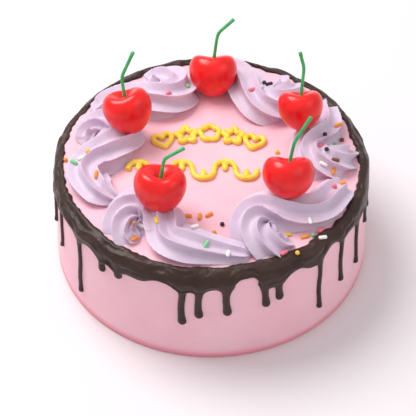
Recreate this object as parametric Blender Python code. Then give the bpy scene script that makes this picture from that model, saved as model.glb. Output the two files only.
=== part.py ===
"""A round party cake: pink icing, a chocolate drip edge, a ring of piped cream, cherries and sprinkles.

Units are metres, +Z is up, and the origin is the middle of the flat base. -Y is the front.
Sizes below are given in millimetres and turned into metres by MM.
"""

import math

import bmesh
import bpy
from mathutils import Matrix, Vector
from mathutils.bvhtree import BVHTree

MM = 0.001
GAP = 0.3 * MM

# The cake itself
CAKE_RADIUS = 75 * MM
BASE_RADIUS = 76.2 * MM
CAKE_HEIGHT = 55 * MM
SHOULDER_RADIUS = 4.5 * MM
BASE_EDGE_RADIUS = 1.5 * MM
CAKE_SEGMENTS = 64

# The chocolate: a band over the shoulder, with drips down the side
# Inner edge of the band: (degrees round the cake, radius in mm)
BAND_INNER_EDGE = (
    (13, 70.4), (24, 72.5), (38, 71), (52, 72.5), (70, 72), (103, 70.4), (122, 70.6), (136, 73),
    (147, 72), (157, 73), (170, 72.2), (190, 71), (201, 70), (212, 69.2), (220, 68.4), (229, 69.8),
    (241, 68.6), (255, 69), (265, 68.4), (282, 68.1), (293, 67.8), (303, 69.6), (312, 69.4),
    (317, 68.4), (323, 70.2), (338, 70.7), (346, 71.8), (358, 71.6),
)
BAND_THICKNESS = 1.2 * MM
BAND_EDGE_THICKNESS = 0.7 * MM
BAND_SEGMENTS = 60
# Lower edge of the band: (degrees round the cake, height in mm)
BAND_LOWER_EDGE = (
    (5, 47), (20, 49), (33, 46), (48, 49), (62, 46), (76, 49), (90, 47), (104, 50), (117, 46),
    (130, 49), (143, 47), (155, 49), (166, 46), (178, 44), (188, 48), (202, 50), (213, 48),
    (224, 47.8), (234, 46.8), (244, 46.3), (251, 49.6), (262, 47.6), (270, 47.4), (274, 47.6),
    (281, 52.2), (285, 52.6), (290, 46.6), (294, 46.2), (302, 49.5), (308, 45.8), (319, 51.0),
    (330, 48.5), (343, 46), (355, 48),
)
# Drips: (degrees round the cake, height of the tip in mm, width in mm)
DRIPS = (
    (189, 27, 2.2), (199.5, 23, 2.4), (214.7, 10.5, 3.0), (227.2, 38.7, 3.7), (234.5, 40.4, 4.1),
    (259.4, 22.6, 3.9), (265.5, 28, 3.9), (275.4, 29.7, 4.0), (289.4, 31.4, 3.8), (294.5, 33.6, 3.8),
    (312.1, 13.4, 2.8), (323.9, 19.7, 3.1), (335.8, 17.6, 2.9), (346, 33, 3.0),
    (2, 22, 3.4), (15, 36, 3.8), (28, 14, 2.9), (42, 30, 3.6), (55, 24, 3.9), (68, 38, 3.6),
    (82, 12, 3.0), (95, 31, 3.8), (108, 25, 3.6), (122, 37, 4.0), (135, 17, 2.9), (149, 29, 3.6),
    (162, 35, 3.8), (174, 19, 3.0),
)
DRIP_THICKNESS = 1.7 * MM
DRIP_ROOT_RISE = 3.5 * MM
DRIP_ROOT_LIFT = 0.25 * MM

# The cream: six swirls, each a star-shaped rope that curls round an eye and trails off along the ring
ROPE_CRESTS = 7
ROPE_GROOVE = 0.22
ROPE_STATIONS = 40
CREAM_VOXEL = 1.0 * MM
SWIRL_TRIANGLES = 480
CREAM_LIFT = 0.5 * MM
# Radius at which the cream starts to rise over the chocolate, and the way it takes to do so
CREAM_LAP_START = 64.6 * MM
CREAM_LAP_SLOPE = 2.2 * MM
# Middle line of the curl from the eye: (along the ring, outwards, half width, height), in mm
CURL = (
    (6.5, 4.5, 8.5, 7.0), (0.5, 6.6, 10.8, 8.6), (-5.0, 4.4, 11.2, 10.6), (-7.6, -1.0, 11.0, 12.4),
    (-5.8, -6.6, 11.0, 13.6), (0.0, -9.4, 11.6, 14.2), (6.8, -8.0, 11.8, 14.2), (13.5, -4.4, 11.8, 13.4),
    (20.3, -0.4, 11.4, 12.2),
)
# Middle line of the tail: (share of the way to its end, half width, height), in mm
TAIL = ((0.0, 11.0, 11.4), (0.5, 9.8, 10.4), (1.0, 6.6, 7.2))
TAIL_START_ANGLE = 23
# Swirls: (degrees and radius in mm of the eye, size of the curl, degrees from the eye to the tail's
# end, radius in mm of the tail's start and end, turn of the star along the rope)
SWIRLS = (
    (231, 54.5, 0.97, 45, 57.5, 58, 0.9), (299.5, 54, 1.02, 41, 61.5, 64, 0.45),
    (3, 56, 0.92, 29, 60.5, 63, 0.5), (55, 54, 1.0, 38, 60.5, 63.5, 0.4),
    (115.5, 54, 0.97, 28, 60.5, 62, 0.3), (165, 54, 0.92, 41.5, 60.5, 52, 0.6),
)

# The cherries: (x, y, height of the middle, width, lean back, lean left), in mm and degrees
CHERRIES = (
    (-39.8, 15.8, 74.0, 23.8, 24, 16),
    (0.9, 50.2, 65.9, 23.6, 40, 0),
    (-23.8, -35.8, 73.2, 24.6, 14, -3),
    (42.8, 15.6, 74.8, 21.8, 34, 2),
    (35.7, -29.4, 73.4, 24.4, 38, -2),
)
CHERRY_SEGMENTS = 14
# Half outline of a cherry, top to bottom, as shares of its width: (radius, height)
CHERRY_OUTLINE = (
    (0.0, 0.27), (0.09, 0.33), (0.21, 0.42), (0.34, 0.415), (0.45, 0.31), (0.5, 0.11),
    (0.47, -0.08), (0.39, -0.24), (0.24, -0.385), (0.0, -0.45),
)
# The notch between a cherry's two shoulders, as shares of its width: how deep, how wide, and how
# far above the middle it is at full depth
CHERRY_NOTCH = 0.055
NOTCH_WIDTH = 0.2
NOTCH_REACH = 0.3
# A cherry's depth from front to back, as a share of its width
CHERRY_DEPTH = 0.9
STEM_RADIUS = 0.85 * MM
STEM_FOOT = 0.3
# Stems: rise and sideways reach to the bend, then from the bend to the tip, in mm
STEMS = (
    (10.4, -1.2, 12.6, 5.7), (14.0, 2.2, 7.4, 7.8), (8.4, 1.7, 5.4, 9.2),
    (14.5, 1.4, 7.9, -2.0), (10.8, 2.4, 12.3, 7.4),
)
STEM_LEAN_BACK = 0.3

# The piped line work in the middle of the top
PIPE_RADIUS = 1.35 * MM
MOTIF_SIZE = 4.6 * MM
MOTIF_POINTS = 16
# Right half of a heart, from its dimple to its point, as shares of the motif's size
HEART_HALF = (
    (0.0, 0.38), (0.22, 0.74), (0.6, 0.88), (0.93, 0.66), (0.99, 0.26), (0.8, -0.14), (0.48, -0.5),
    (0.18, -0.8),
)
HEART_TIP = (0.0, -0.95)
# Small motifs: (name, x, y in mm, degrees turned)
MOTIFS = (
    ("heart_left", -23.4, 14.2, 16), ("star_left", -12.2, 18.0, 8), ("flower", -0.8, 19.4, 0),
    ("star_right", 10.6, 17.4, -8), ("heart_right", 20.6, 13.0, -16),
)
VINE_CENTRE = (-9 * MM, -6 * MM)
VINE_LENGTH = 62 * MM
VINE_SWING = 5.6 * MM
VINE_CURL = 1.35 * MM
VINE_WAVES = 3
VINE_POINTS = 37
LEAF_LENGTH = 6.0 * MM
LEAF_WIDTH = 3.2 * MM
LEAF_OFFSET = 3.2 * MM

# Sprinkles: rods and balls, sunk a little into what they lie on
ROD_LENGTH = 4.2 * MM
ROD_RADIUS = 0.95 * MM
BALL_LENGTH = 2.2 * MM
BALL_RADIUS = 1.1 * MM
SPRINKLE_SIDES = 5
SPRINKLE_SUNK = 0.35
# Sprinkles by what they lie on: (x, y in mm, degrees turned, or None for a ball)
SPRINKLES = {
    "cake_body": (
        (-11.3, -36, 0), (-5.5, -36.5, 80), (-1.1, -35.3, 35), (1.2, -46.8, None), (43.4, -49.2, 20),
        (62.2, -20.8, 130), (-63.6, 4.4, 130), (-70.2, 1.1, None), (-6.9, -45.2, 70),
        (47.2, -48.2, None), (7.4, -64.4, 80), (31.7, 6.6, None), (5, -41.5, None),
        (-3.2, -46.9, None), (63.4, 15, None),
    ),
    "cream_swirl_1": (
        (-36.4, -45.6, 140), (-35.7, -52, 40), (-2.5, -59.5, 60), (-7.9, -48.8, 20),
        (-33, -44.4, 150), (-24.9, -49.5, 105),
    ),
    "cream_swirl_2": (
        (45.6, -45.2, 100), (35.3, -47.9, 0), (51.2, -46.2, 50), (33.5, -61, 45),
        (57.8, -23.2, None),
    ),
    "cream_swirl_3": (
        (61.4, 18.2, 30), (57.8, -10.2, 80), (60.1, 10, 120), (53.4, -8.4, 150), (54.6, 8.6, None),
        (55.2, -1.8, None), (52.4, 2.8, 60), (58.9, -6.4, 10),
    ),
    "cream_swirl_4": (
        (34.3, 40.5, 120), (24.4, 44, 60), (38.1, 37.4, None), (28.7, 45.2, 160), (26.3, 48.2, None),
        (19.7, 40.5, 20),
    ),
    "cream_swirl_5": ((-12, 44.6, None), (-21, 37, 60), (-32, 47, None)),
    "cream_swirl_6": (
        (-55.5, 13.8, 100), (-54.2, -16.5, 70), (-65.7, -7, 150), (-62.1, -4.2, 30),
        (-59.1, -0.4, None),
    ),
    "chocolate_drip": ((51.6, -50.8, 10), (39.4, -60.4, None)),
}

PINK = (0.87, 0.48, 0.56)
CHOCOLATE = (0.075, 0.045, 0.035)
LAVENDER = (0.68, 0.52, 0.72)
CHERRY_RED = (0.72, 0.015, 0.02)
STEM_GREEN = (0.02, 0.45, 0.13)
YELLOW = (0.9, 0.55, 0.03)


def clear_scene():
    for obj in list(bpy.data.objects):
        bpy.data.objects.remove(obj, do_unlink=True)


def material(name, color, roughness):
    made = bpy.data.materials.get(name)
    if made is None:
        made = bpy.data.materials.new(name)
        made.use_nodes = True
        shader = made.node_tree.nodes["Principled BSDF"]
        shader.inputs["Base Color"].default_value = (*color, 1)
        shader.inputs["Roughness"].default_value = roughness
        shader.inputs["Metallic"].default_value = 0
    return made


def add_object(name, data, finish):
    obj = bpy.data.objects.new(name, data)
    bpy.context.scene.collection.objects.link(obj)
    data.materials.append(finish)
    return obj


def add_mesh(name, bm, finish):
    """An object from a bmesh, with its faces turned outwards and shaded smooth."""
    bmesh.ops.recalc_face_normals(bm, faces=bm.faces)
    mesh = bpy.data.meshes.new(name)
    bm.to_mesh(mesh)
    bm.free()
    mesh.shade_smooth()
    mesh.set_sharp_from_angle(angle=math.radians(50))
    return add_object(name, mesh, finish)


def add_rings(bm, rings, closed=False):
    """Joins rings of points, in order, into one closed body: a tube with end caps, or a hoop."""
    rows = [[bm.verts.new(point) for point in ring] for ring in rings]
    pairs = list(zip(rows, rows[1:]))
    if closed:
        pairs.append((rows[-1], rows[0]))
    for first, second in pairs:
        count = len(first)
        for i in range(count):
            j = (i + 1) % count
            bm.faces.new((first[i], first[j], second[j], second[i]))
    if not closed:
        bm.faces.new(rows[0])
        bm.faces.new(rows[-1])


def on_ring(degrees, radius, height=0.0):
    angle = math.radians(degrees)
    return Vector((radius * math.cos(angle), radius * math.sin(angle), height))


def arc(centre_r, centre_z, radius, start, end, steps):
    """Points (r, z) of an arc in the plane of the cake's profile; angles in degrees."""
    points = []
    for i in range(steps + 1):
        angle = math.radians(start + (end - start) * i / steps)
        points.append((centre_r + radius * math.cos(angle), centre_z + radius * math.sin(angle)))
    return points


def turned(name, outline, segments, finish):
    """A solid turned round +Z from an outline that starts and ends on the axis."""
    bm = bmesh.new()
    verts = [bm.verts.new((r, 0, z)) for r, z in outline]
    edges = [bm.edges.new(pair) for pair in zip(verts, verts[1:])]
    bmesh.ops.spin(
        bm, geom=verts + edges, cent=(0, 0, 0), axis=(0, 0, 1), angle=math.tau, steps=segments
    )
    bmesh.ops.remove_doubles(bm, verts=bm.verts, dist=1e-6)
    return add_mesh(name, bm, finish)


def join_with(host, pieces, operation, solver="EXACT"):
    """One Boolean of the host with all the pieces, applied, with the pieces then removed."""
    helpers = bpy.data.collections.new("helpers")
    bpy.context.scene.collection.children.link(helpers)
    for piece in pieces:
        for home in list(piece.users_collection):
            home.objects.unlink(piece)
        helpers.objects.link(piece)
    modifier = host.modifiers.new("Join", "BOOLEAN")
    modifier.operation = operation
    modifier.solver = solver
    modifier.operand_type = "COLLECTION"
    modifier.collection = helpers
    with bpy.context.temp_override(object=host, active_object=host, selected_objects=[host]):
        bpy.ops.object.modifier_apply(modifier=modifier.name)
    for piece in pieces:
        bpy.data.objects.remove(piece, do_unlink=True)
    bpy.data.collections.remove(helpers)


# Cake body


def make_cake_body():
    corner_r = CAKE_RADIUS - SHOULDER_RADIUS
    corner_z = CAKE_HEIGHT - SHOULDER_RADIUS
    foot_r = BASE_RADIUS - BASE_EDGE_RADIUS
    outline = [(0, 0)]
    outline += arc(foot_r, BASE_EDGE_RADIUS, BASE_EDGE_RADIUS, -90, 0, 2)
    outline += arc(corner_r, corner_z, SHOULDER_RADIUS, 0, 90, 4)
    outline += [(0, CAKE_HEIGHT)]
    return turned("cake_body", outline, CAKE_SEGMENTS, material("pink_icing", PINK, 0.55))


# Chocolate edge


def between(points, degrees):
    """Value at an angle, eased between the (degrees, value) points of a closed ring."""
    count = len(points)
    for i in range(count):
        start, low = points[i]
        end, high = points[(i + 1) % count]
        span = (end - start) % 360
        along = (degrees - start) % 360
        if along <= span:
            ease = (1 - math.cos(math.pi * along / span)) / 2
            return low + (high - low) * ease
    return points[0][1]


def side_radius(height):
    """Radius of the icing at a height: the side leans in a little towards the top."""
    share = height / (CAKE_HEIGHT - SHOULDER_RADIUS)
    return BASE_RADIUS + (CAKE_RADIUS - BASE_RADIUS) * min(share, 1)


def band_ring(degrees):
    """Cross-section of the chocolate band at an angle: outer skin outwards and down, then back."""
    inner = between(BAND_INNER_EDGE, degrees) * MM
    low = between(BAND_LOWER_EDGE, degrees) * MM
    corner_r = CAKE_RADIUS - SHOULDER_RADIUS
    corner_z = CAKE_HEIGHT - SHOULDER_RADIUS
    skin = SHOULDER_RADIUS + GAP
    under = arc(corner_r, corner_z, skin, 75, 0, 3)
    outer = arc(corner_r, corner_z, skin + BAND_THICKNESS, 80, 0, 3)
    profile = [(inner, CAKE_HEIGHT + GAP), (inner + 0.4 * MM, CAKE_HEIGHT + GAP + BAND_EDGE_THICKNESS)]
    profile += outer
    side = side_radius(low) + GAP
    profile += [(side + BAND_EDGE_THICKNESS, low), (side, low)]
    profile += reversed(under)
    return [on_ring(degrees, r, z) for r, z in profile]


def drip_ring(degrees, height, half_width, thickness, lift):
    """Cross-section of a drip: a flat back on the icing and a rounded front."""
    back = side_radius(height) + GAP + lift
    ring = []
    for share, proud in ((-1, 0), (-0.75, 0.62), (0, 1), (0.75, 0.62), (1, 0)):
        turn = math.degrees(share * half_width / back)
        ring.append(on_ring(degrees + turn, back + proud * thickness, height))
    return ring


def make_drip(degrees, tip, width, finish):
    top = between(BAND_LOWER_EDGE, degrees) * MM + DRIP_ROOT_RISE
    length = top - tip * MM
    half = width * MM / 2
    root = top - DRIP_ROOT_RISE
    bulb = tip * MM + 1.1 * half
    stations = (
        (top, 1.9 * half, 0.4, DRIP_ROOT_LIFT),
        (root, 1.45 * half, 0.55, DRIP_ROOT_LIFT),
        (root - min(3 * MM, 0.2 * length), 0.88 * half, 0.8, 0),
        (bulb, 1.0 * half, 1.0, 0),
        (tip * MM + 0.35 * half, 0.72 * half, 0.75, 0),
        (tip * MM, 0.2 * half, 0.3, 0),
    )
    rings = []
    for height, half_width, share, lift in stations:
        rings.append(drip_ring(degrees, height, half_width, share * DRIP_THICKNESS, lift))
    bm = bmesh.new()
    add_rings(bm, rings)
    return add_mesh("drip", bm, finish)


def make_chocolate():
    finish = material("chocolate", CHOCOLATE, 0.35)
    bm = bmesh.new()
    add_rings(bm, [band_ring(360 * i / BAND_SEGMENTS) for i in range(BAND_SEGMENTS)], closed=True)
    band = add_mesh("chocolate_drip", bm, finish)
    drips = [make_drip(degrees, tip, width, finish) for degrees, tip, width in DRIPS]
    join_with(band, drips, "UNION", "MANIFOLD")
    return band


# Piped cream


def smooth_path(points, share):
    """A Catmull-Rom curve through rows of numbers, read at a share (0 to 1) of its way."""
    spans = len(points) - 1
    place = min(share * spans, spans - 1e-9)
    i = int(place)
    t = place - i
    before = points[max(i - 1, 0)]
    start = points[i]
    end = points[i + 1]
    after = points[min(i + 2, spans)]
    row = []
    for p0, p1, p2, p3 in zip(before, start, end, after):
        bend = 2 * p0 - 5 * p1 + 4 * p2 - p3
        turn = 3 * p1 - p0 - 3 * p2 + p3
        row.append(p1 + 0.5 * t * (p2 - p0 + t * (bend + t * turn)))
    return row


def swirl_line(eye_degrees, eye_radius, size, tail_degrees, tail_start, tail_end):
    """Rows of (x, y, half width, height) along a swirl's middle line, in metres."""
    outwards = on_ring(eye_degrees, 1)
    along = on_ring(eye_degrees + 90, 1)
    rows = []
    for t, n, half_width, height in CURL:
        point = outwards * (eye_radius + n * size) * MM + along * t * size * MM
        rows.append((point.x, point.y, half_width * size * MM, height * MM))
    for share, half_width, height in TAIL:
        turn = TAIL_START_ANGLE + (tail_degrees - TAIL_START_ANGLE) * share
        radius = tail_start + (tail_end - tail_start) * share
        point = on_ring(eye_degrees + turn, radius * MM)
        rows.append((point.x, point.y, half_width * MM, height * MM))
    return rows


def floor_under(point):
    """Height that the cream may come down to: the icing, or the chocolate where it laps onto it."""
    radius = math.hypot(point.x, point.y)
    lap = min(max((radius - CREAM_LAP_START) / CREAM_LAP_SLOPE, 0), 1)
    return CAKE_HEIGHT + CREAM_LIFT + lap * (BAND_THICKNESS + GAP)


def crest(phase):
    """1 on a crest of the star-shaped rope, 0 in the bottom of a groove, sharp at the crest."""
    away = abs((phase + 0.5) % 1 - 0.5) * 2
    return (1 - away) ** 2


def rope_ring(rows, share, turn):
    """Cross-section of the rope: a star standing on the icing, its underside flat."""
    x, y, half_width, height = smooth_path(rows, share)
    ahead = smooth_path(rows, min(share + 0.01, 1))
    behind = smooth_path(rows, max(share - 0.01, 0))
    heading = Vector((ahead[0] - behind[0], ahead[1] - behind[1], 0)).normalized()
    left = Vector((-heading.y, heading.x, 0))
    teeth = max(0, 1 - share / 0.08)
    centre_height = 0.32 * height
    ring = []
    for i in range(2 * ROPE_CRESTS):
        phase = i / 2
        angle = math.tau * (i / (2 * ROPE_CRESTS)) + turn * share * math.pi
        on_crest = crest(phase)
        reach = 1 - ROPE_GROOVE * (1 - on_crest)
        point = Vector((x, y, 0)) + left * (half_width * reach * math.cos(angle))
        point -= heading * (teeth * 2.5 * MM * on_crest)
        rise = centre_height + (height - centre_height) * reach * math.sin(angle)
        rise *= 1 - 0.45 * teeth
        point.z = floor_under(point) + max(rise, 0)
        ring.append(point)
    return ring


def merged(obj, voxel, triangles):
    """Makes one closed skin of a mesh that runs through itself, then thins it out."""
    skin = obj.modifiers.new("Skin", "REMESH")
    skin.mode = "VOXEL"
    skin.voxel_size = voxel
    with bpy.context.temp_override(object=obj, active_object=obj, selected_objects=[obj]):
        bpy.ops.object.modifier_apply(modifier=skin.name)
    faces = 2 * len(obj.data.polygons)
    thin = obj.modifiers.new("Thin", "DECIMATE")
    thin.ratio = triangles / faces
    with bpy.context.temp_override(object=obj, active_object=obj, selected_objects=[obj]):
        bpy.ops.object.modifier_apply(modifier=thin.name)


def make_swirl(number, row):
    rows = swirl_line(*row[:6])
    turn = row[6]
    bm = bmesh.new()
    shares = [i / (ROPE_STATIONS - 1) for i in range(ROPE_STATIONS)]
    add_rings(bm, [rope_ring(rows, share, turn) for share in shares])
    swirl = add_mesh(f"cream_swirl_{number}", bm, material("lavender_cream", LAVENDER, 0.5))
    merged(swirl, CREAM_VOXEL, SWIRL_TRIANGLES)
    return swirl


# Cherries and stems


def cherry_matrix(x, y, z, lean_back, lean_left):
    place = Matrix.Translation((x * MM, y * MM, z * MM))
    back = Matrix.Rotation(math.radians(-lean_back), 4, "X")
    left = Matrix.Rotation(math.radians(-lean_left), 4, "Y")
    return place @ left @ back


def make_cherry(name, row, grown=0.0):
    """One cherry. A grown one is the seat that it presses into the cream."""
    x, y, z, width, lean_back, lean_left = row
    size = width * MM + 2 * grown
    outline = [(r * size, h * size) for r, h in CHERRY_OUTLINE]
    cherry = turned(name, outline, CHERRY_SEGMENTS, material("cherry_red", CHERRY_RED, 0.15))
    for vertex in cherry.data.vertices:
        across = vertex.co.x / size
        on_shoulder = min(max(vertex.co.z / (NOTCH_REACH * size), 0), 1)
        vertex.co.z -= CHERRY_NOTCH * size * math.exp(-((across / NOTCH_WIDTH) ** 2)) * on_shoulder
        vertex.co.y *= CHERRY_DEPTH
    cherry.matrix_world = cherry_matrix(x, y, z, lean_back, lean_left)
    return cherry


def make_stem(number, cherry, stem):
    x, y, z, width, lean_back, lean_left = cherry
    rise_low, side_low, rise_high, side_high = stem
    foot = cherry_matrix(x, y, z, lean_back, lean_left) @ Vector((0, 0, STEM_FOOT * width * MM))
    bend = foot + Vector((side_low, STEM_LEAN_BACK * rise_low, rise_low)) * MM
    tip = bend + Vector((side_high, STEM_LEAN_BACK * rise_high, rise_high)) * MM
    points = [foot, foot.lerp(bend, 0.4), foot.lerp(bend, 0.85), bend.lerp(tip, 0.12), tip]
    curve = bpy.data.curves.new(f"cherry_stem_{number}", "CURVE")
    curve.dimensions = "3D"
    curve.bevel_depth = STEM_RADIUS
    curve.bevel_resolution = 1
    curve.use_fill_caps = True
    spline = curve.splines.new("POLY")
    spline.points.add(len(points) - 1)
    for spline_point, point in zip(spline.points, points):
        spline_point.co = (*point, 1)
    return add_object(f"cherry_stem_{number}", curve, material("stem_green", STEM_GREEN, 0.5))


# Piped line work


def heart_outline():
    left_half = [(-x, y) for x, y in reversed(HEART_HALF[1:])]
    return [*HEART_HALF, HEART_TIP, *left_half]


def star_point(t):
    reach = 0.86 + 0.26 * math.cos(5 * (t - math.pi / 2))
    return reach * math.cos(t), reach * math.sin(t)


def flower_point(t):
    reach = 0.86 + 0.2 * abs(math.cos(2.5 * (t - math.pi / 2)))
    return reach * math.cos(t), reach * math.sin(t)


def piped(name, points, cyclic):
    """A round bead of icing that follows points (x, y) on the top of the cake."""
    curve = bpy.data.curves.new(name, "CURVE")
    curve.dimensions = "3D"
    curve.bevel_depth = PIPE_RADIUS
    curve.bevel_resolution = 1
    curve.use_fill_caps = True
    spline = curve.splines.new("POLY")
    spline.points.add(len(points) - 1)
    spline.use_cyclic_u = cyclic
    height = CAKE_HEIGHT + GAP + PIPE_RADIUS
    for spline_point, (x, y) in zip(spline.points, points):
        spline_point.co = (x, y, height, 1)
    return add_object(name, curve, material("yellow_icing", YELLOW, 0.4))


def make_motifs():
    turns = [math.tau * i / MOTIF_POINTS for i in range(MOTIF_POINTS)]
    outlines = {
        "heart": heart_outline(),
        "star": [star_point(t) for t in turns],
        "flower": [flower_point(t) for t in turns],
    }
    for name, x, y, degrees in MOTIFS:
        turn = Matrix.Rotation(math.radians(degrees), 2)
        points = []
        for corner in outlines[name.split("_")[0]]:
            point = turn @ Vector(corner) * MOTIF_SIZE
            points.append((x * MM + point.x, y * MM + point.y))
        piped(f"piped_{name}", points, True)


def vine_point(share):
    turn = math.tau * VINE_WAVES * share
    x = VINE_CENTRE[0] + VINE_LENGTH * (share - 0.5) - VINE_CURL * math.sin(2 * turn)
    y = VINE_CENTRE[1] + VINE_SWING * math.sin(turn)
    return x, y


def make_leaf(share, side, finish):
    """A piped drop that fills one bend of the vine."""
    x, y = vine_point(share)
    bm = bmesh.new()
    bmesh.ops.create_uvsphere(bm, u_segments=8, v_segments=4, radius=0.5)
    size = Matrix.Diagonal((LEAF_LENGTH, LEAF_WIDTH, 2 * PIPE_RADIUS, 1))
    turn = Matrix.Rotation(math.radians(90), 4, "Z")
    place = Matrix.Translation((x, y - side * LEAF_OFFSET, CAKE_HEIGHT + GAP + PIPE_RADIUS))
    bmesh.ops.transform(bm, matrix=place @ turn @ size, verts=bm.verts)
    return add_mesh("leaf", bm, finish)


def make_vine():
    line = piped("vine_line", [vine_point(i / (VINE_POINTS - 1)) for i in range(VINE_POINTS)], False)
    graph = bpy.context.evaluated_depsgraph_get()
    mesh = bpy.data.meshes.new_from_object(line.evaluated_get(graph))
    bpy.data.objects.remove(line, do_unlink=True)
    bm = bmesh.new()
    bm.from_mesh(mesh)
    bpy.data.meshes.remove(mesh)
    bmesh.ops.remove_doubles(bm, verts=bm.verts, dist=1e-6)
    finish = material("yellow_icing", YELLOW, 0.4)
    vine = add_mesh("piped_vine", bm, finish)
    leaves = []
    for i in range(2 * VINE_WAVES):
        side = 1 if i % 2 == 0 else -1
        leaves.append(make_leaf((i + 0.5) / (2 * VINE_WAVES), side, finish))
    join_with(vine, leaves, "UNION")


# Sprinkles


def make_sprinkle(host_tree, x, y, degrees, finish):
    """A capsule lying on the surface below (x, y), sunk into it by a share of its radius."""
    hit, normal, _, _ = host_tree.ray_cast(Vector((x * MM, y * MM, 0.2)), Vector((0, 0, -1)))
    length, radius = (BALL_LENGTH, BALL_RADIUS) if degrees is None else (ROD_LENGTH, ROD_RADIUS)
    half = length / 2
    rings = []
    middle = ((0, 1),) if degrees is None else ((0.6 * radius - half, 1), (half - 0.6 * radius, 1))
    for place, share in ((-half, 0.45), *middle, (half, 0.45)):
        ring = []
        for i in range(SPRINKLE_SIDES):
            angle = math.tau * i / SPRINKLE_SIDES
            ring.append(Vector((place, share * radius * math.cos(angle), share * radius * math.sin(angle))))
        rings.append(ring)
    bm = bmesh.new()
    add_rings(bm, rings)
    lie = Vector((0, 0, 1)).rotation_difference(normal).to_matrix().to_4x4()
    turn = Matrix.Rotation(math.radians(degrees or 0), 4, "Z")
    lift = Matrix.Translation(hit + normal * radius * (1 - SPRINKLE_SUNK))
    bmesh.ops.transform(bm, matrix=lift @ lie @ turn, verts=bm.verts)
    return add_mesh("sprinkle", bm, finish)


def add_sprinkles(host, places):
    bm = bmesh.new()
    bm.from_mesh(host.data)
    tree = BVHTree.FromBMesh(bm)
    bm.free()
    finish = host.data.materials[0]
    sprinkles = [make_sprinkle(tree, x, y, degrees, finish) for x, y, degrees in places]
    join_with(host, sprinkles, "UNION", "MANIFOLD")


def main():
    clear_scene()
    hosts = {"cake_body": make_cake_body(), "chocolate_drip": make_chocolate()}
    for number, swirl_row in enumerate(SWIRLS, 1):
        swirl = make_swirl(number, swirl_row)
        seats = [make_cherry("seat", row, GAP) for row in CHERRIES]
        join_with(swirl, seats, "DIFFERENCE")
        hosts[swirl.name] = swirl
    for name, places in SPRINKLES.items():
        add_sprinkles(hosts[name], places)
    for number, (cherry, stem) in enumerate(zip(CHERRIES, STEMS), 1):
        make_cherry(f"cherry_{number}", cherry)
        make_stem(number, cherry, stem)
    make_motifs()
    make_vine()


main()
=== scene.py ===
"""The iced party cake: its finished pieces and materials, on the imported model.

Everything is in metres in the model's own frame: +Z up, -Y the front, the origin under the middle.
Sizes are written in millimetres and turned into metres by MM.
"""

import math

import bmesh
import bpy
from mathutils import Matrix, Vector, noise
from mathutils.bvhtree import BVHTree


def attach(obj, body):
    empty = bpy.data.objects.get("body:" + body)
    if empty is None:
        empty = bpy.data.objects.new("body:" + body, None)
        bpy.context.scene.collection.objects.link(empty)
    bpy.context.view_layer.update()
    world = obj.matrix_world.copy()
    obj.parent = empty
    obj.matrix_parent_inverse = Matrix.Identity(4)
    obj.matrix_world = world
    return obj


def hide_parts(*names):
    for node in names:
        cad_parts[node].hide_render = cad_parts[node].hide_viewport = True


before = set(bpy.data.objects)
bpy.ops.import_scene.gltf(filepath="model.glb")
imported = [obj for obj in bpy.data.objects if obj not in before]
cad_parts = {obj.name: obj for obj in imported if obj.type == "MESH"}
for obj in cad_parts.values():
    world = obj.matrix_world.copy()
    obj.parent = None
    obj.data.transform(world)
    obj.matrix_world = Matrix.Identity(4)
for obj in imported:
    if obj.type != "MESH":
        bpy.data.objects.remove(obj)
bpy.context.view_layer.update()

MM = 0.001

# The cake itself
CAKE_RADIUS = 75 * MM
BASE_RADIUS = 76.2 * MM
CAKE_HEIGHT = 55 * MM
SHOULDER_RADIUS = 4.5 * MM
BASE_EDGE_RADIUS = 1.5 * MM
CAKE_SEGMENTS = 180
SIDE_CUTS = 22
TOP_RINGS = 15
TOP_RING_WIDTH = 4.5 * MM
# How uneven the knife left the icing
ICING_LUMPS = 0.28 * MM
# Heights between which the deeper pink painted as shade at the icing's foot gives way to the pale pink
# above
FOOT_SHADE_HEIGHTS = (0.5 * MM, 6 * MM)

# The chocolate edge and its drips
# Inner edge of the band: (degrees round the cake, radius in mm)
BAND_INNER_EDGE = (
    (13, 69.8), (24, 71), (38, 70), (52, 71), (70, 70.6), (103, 70.2), (122, 70.4), (136, 71.8),
    (147, 71), (157, 72), (170, 71.4), (190, 70.8), (201, 70), (212, 69.2), (220, 68.4), (229, 69.8),
    (241, 68.6), (255, 69), (265, 68.4), (282, 68.1), (293, 67.8), (303, 69.6), (312, 69.4),
    (317, 68.4), (323, 70.2), (338, 70.4), (346, 70.8), (358, 70.6),
)
BAND_THICKNESS = 1.45 * MM
BAND_SUNK = 0.7 * MM
BAND_STEPS = 720
# Where the points across the band lie, from its inner edge (0) to its lower edge (1)
BAND_ACROSS = (0, 0.05, 0.12, 0.2, 0.3, 0.4, 0.5, 0.6, 0.7, 0.78, 0.86, 0.93, 0.98, 1)
# Lower edge of the band: (degrees round the cake, height in mm)
BAND_LOWER_EDGE = (
    (5, 47), (20, 49), (33, 46), (48, 49), (62, 46), (76, 49), (90, 47), (104, 50), (117, 46),
    (130, 49), (143, 47), (155, 49), (166, 46), (178, 44), (188, 48), (202, 50), (213, 48),
    (224, 47.8), (234, 46.8), (244, 46.3), (251, 49.6), (262, 47.6), (270, 47.4), (274, 47.6),
    (281, 52.2), (285, 52.6), (290, 46.6), (294, 46.2), (302, 49.5), (308, 45.8), (319, 51.0),
    (330, 48.5), (343, 46), (355, 48),
)
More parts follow.
